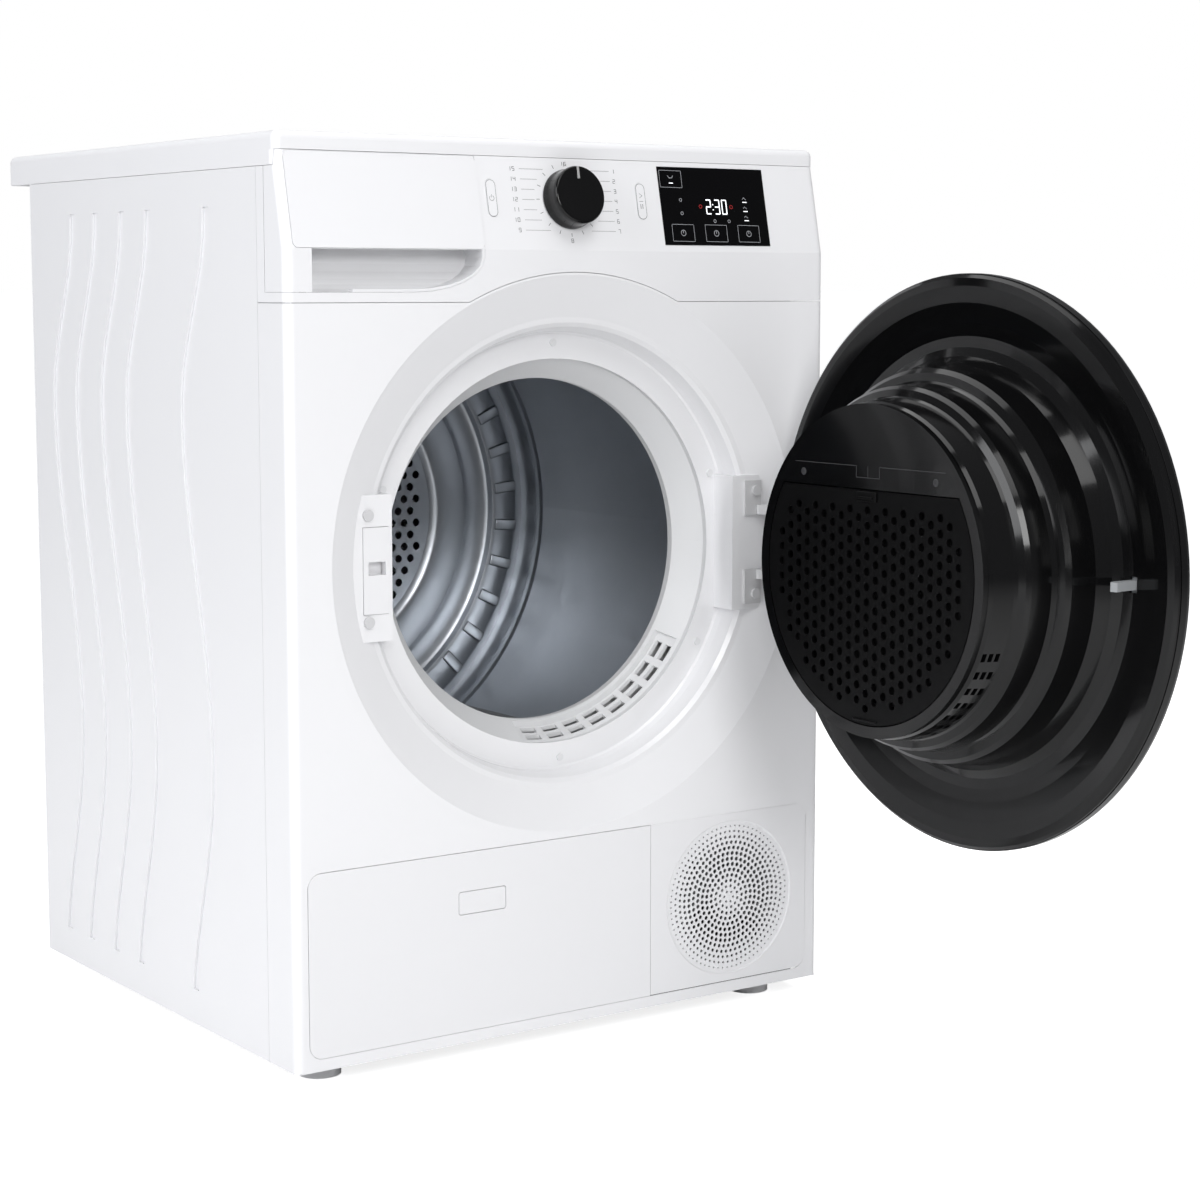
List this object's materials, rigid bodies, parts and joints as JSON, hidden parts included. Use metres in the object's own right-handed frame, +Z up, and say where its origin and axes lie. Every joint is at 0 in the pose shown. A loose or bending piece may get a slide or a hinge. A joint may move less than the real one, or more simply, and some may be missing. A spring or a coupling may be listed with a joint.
{
  "type": "clothes dryer",
  "caption": "Free-standing white clothes dryer with a round black door open at a right angle, a water drawer, a programme knob and a service flap.",
  "frame": {"origin": "centre of the rectangle of the four feet, on the floor", "axes": "+Z up, the front faces -Y, +X to the right seen from the front"},
  "size_m": [0.6, 1.128, 0.8499],
  "materials": {
    "white_enamel": "smooth white enamel, gloss",
    "white_plastic": "white moulded plastic, satin gloss",
    "black_gloss": "black high-gloss moulded plastic",
    "black_satin": "black satin moulded plastic",
    "drum_steel": "galvanised sheet steel, soft sheen",
    "bright_steel": "plated steel",
    "grey_plastic": "grey moulded plastic",
    "dark_plastic": "dark moulded plastic",
    "display_glass": "black gloss display window",
    "black_rubber": "matt rubber",
    "felt": "pressed wool felt",
    "tank_plastic": "natural polypropylene",
    "aluminium": "fin stock",
    "circuit_board": "solder mask",
    "black_paint": "black enamel"
  },
  "bodies": {
    "root": {"left_side_panel": "white_enamel", "right_side_panel": "white_enamel", "front_panel": "white_enamel", "rear_panel": "bright_steel", "rear_duct_cover": "grey_plastic", "worktop": "white_plastic", "base_tray": "dark_plastic", "feet": "black_rubber", "top_brace": "bright_steel", "control_fascia": "white_plastic", "display_glass": "display_glass", "control_board": "circuit_board", "knob_encoder": "grey_plastic", "tank_tray": "grey_plastic", "front_bulkhead": "white_plastic", "air_grille": "white_plastic", "bulkhead_screws": "bright_steel", "drum_seal": "felt", "shaft_bearing": "grey_plastic", "roller_axles": "bright_steel", "drum_belt": "black_rubber", "motor": "bright_steel", "blower_housing": "grey_plastic", "compressor": "black_paint", "heat_exchanger": "aluminium", "condensate_pump": "dark_plastic", "grille_panel": "white_plastic", "hinge_bracket": "bright_steel", "hinge_pin": "bright_steel", "latch_plate": "white_plastic", "latch_screws": "bright_steel", "cable_gland": "black_rubber", "drain_spigot": "dark_plastic"},
    "door": {"door_cover": "black_gloss", "door_liner": "black_gloss", "door_hook": "grey_plastic", "hinge_leaf": "bright_steel"},
    "filter_cover_body": {"filter_cover": "black_satin", "lint_filter": "black_satin"},
    "drum": {"drum_shell": "drum_steel", "drum_rear_wall": "drum_steel", "drum_lifters": "grey_plastic", "drum_shaft": "bright_steel"},
    "rotor": {"motor_rotor": "bright_steel", "blower_wheel": "dark_plastic"},
    "left_roller": {"roller_left": "black_rubber"},
    "right_roller": {"roller_right": "black_rubber"},
    "idler": {"idler_arm": "bright_steel"},
    "idler_wheel_body": {"idler_wheel": "dark_plastic"},
    "knob_body": {"knob": "black_gloss", "knob_pointer": "white_plastic"},
    "power_key": {"power_button": "white_plastic"},
    "start_key": {"start_button": "white_plastic"},
    "water_drawer": {"drawer_front": "white_plastic", "water_tank": "tank_plastic", "tank_cap": "dark_plastic"},
    "flap": {"service_flap": "white_plastic"},
    "flap_latch": {"flap_button": "white_plastic"}
  },
  "joints": [
    {"name": "door_hinge", "type": "hinge", "parent": "root", "child": "door", "pos_m": [0.252, -0.287, 0.466], "axis": [0, 0, 1], "range_deg": [-90, 0]},
    {"name": "filter_cover_hinge", "type": "hinge", "parent": "door", "child": "filter_cover_body", "pos_m": [0.134, -0.536, 0.333], "axis": [0, -1, 0], "range_deg": [0, 60]},
    {"name": "drum_spin", "type": "hinge", "parent": "root", "child": "drum", "pos_m": [0.003, 0.025, 0.466], "axis": [0, 1, 0], "continuous": true},
    {"name": "rotor_spin", "type": "hinge", "parent": "root", "child": "rotor", "pos_m": [0.19, 0.005, 0.118], "axis": [0, 1, 0], "continuous": true},
    {"name": "left_roller_spin", "type": "hinge", "parent": "root", "child": "left_roller", "pos_m": [-0.15778, -0.146, 0.2087], "axis": [0, 1, 0], "continuous": true},
    {"name": "right_roller_spin", "type": "hinge", "parent": "root", "child": "right_roller", "pos_m": [0.16378, -0.146, 0.2087], "axis": [0, 1, 0], "continuous": true},
    {"name": "idler_swing", "type": "hinge", "parent": "root", "child": "idler", "pos_m": [0.23647, 0.016, 0.09545], "axis": [0, 1, 0], "range_deg": [0, 6], "stiffness_Nm_per_rad": 2, "springref_deg": -5.73},
    {"name": "idler_spin", "type": "hinge", "parent": "idler", "child": "idler_wheel_body", "pos_m": [0.22848, 0.005, 0.15145], "axis": [0, 1, 0], "continuous": true},
    {"name": "knob_turn", "type": "hinge", "parent": "root", "child": "knob_body", "pos_m": [0, -0.26506, 0.79596], "axis": [0, -0.9783, 0.2072], "continuous": true},
    {"name": "power_press", "type": "slide", "parent": "root", "child": "power_key", "axis": [0, 0.9783, -0.2072], "range_m": [0, 0.0012], "stiffness_N_per_m": 800, "springref_m": -0.0005},
    {"name": "start_press", "type": "slide", "parent": "root", "child": "start_key", "axis": [0, 0.9783, -0.2072], "range_m": [0, 0.0012], "stiffness_N_per_m": 800, "springref_m": -0.0005},
    {"name": "water_drawer_slide", "type": "slide", "parent": "root", "child": "water_drawer", "axis": [0, -1, 0], "range_m": [0, 0.4]},
    {"name": "flap_hinge", "type": "hinge", "parent": "root", "child": "flap", "pos_m": [-0.099, -0.2755, 0.0295], "axis": [1, 0, 0], "range_deg": [0, 80]},
    {"name": "flap_button_press", "type": "slide", "parent": "flap", "child": "flap_latch", "axis": [0, 1, 0], "range_m": [0, 0.003], "stiffness_N_per_m": 600, "springref_m": -0.001}
  ],
  "couplings": [
    {"joint": "rotor_spin", "follows": "drum_spin", "ratio": 27.8},
    {"joint": "left_roller_spin", "follows": "drum_spin", "ratio": -11.12},
    {"joint": "right_roller_spin", "follows": "drum_spin", "ratio": -11.12}
  ]
}
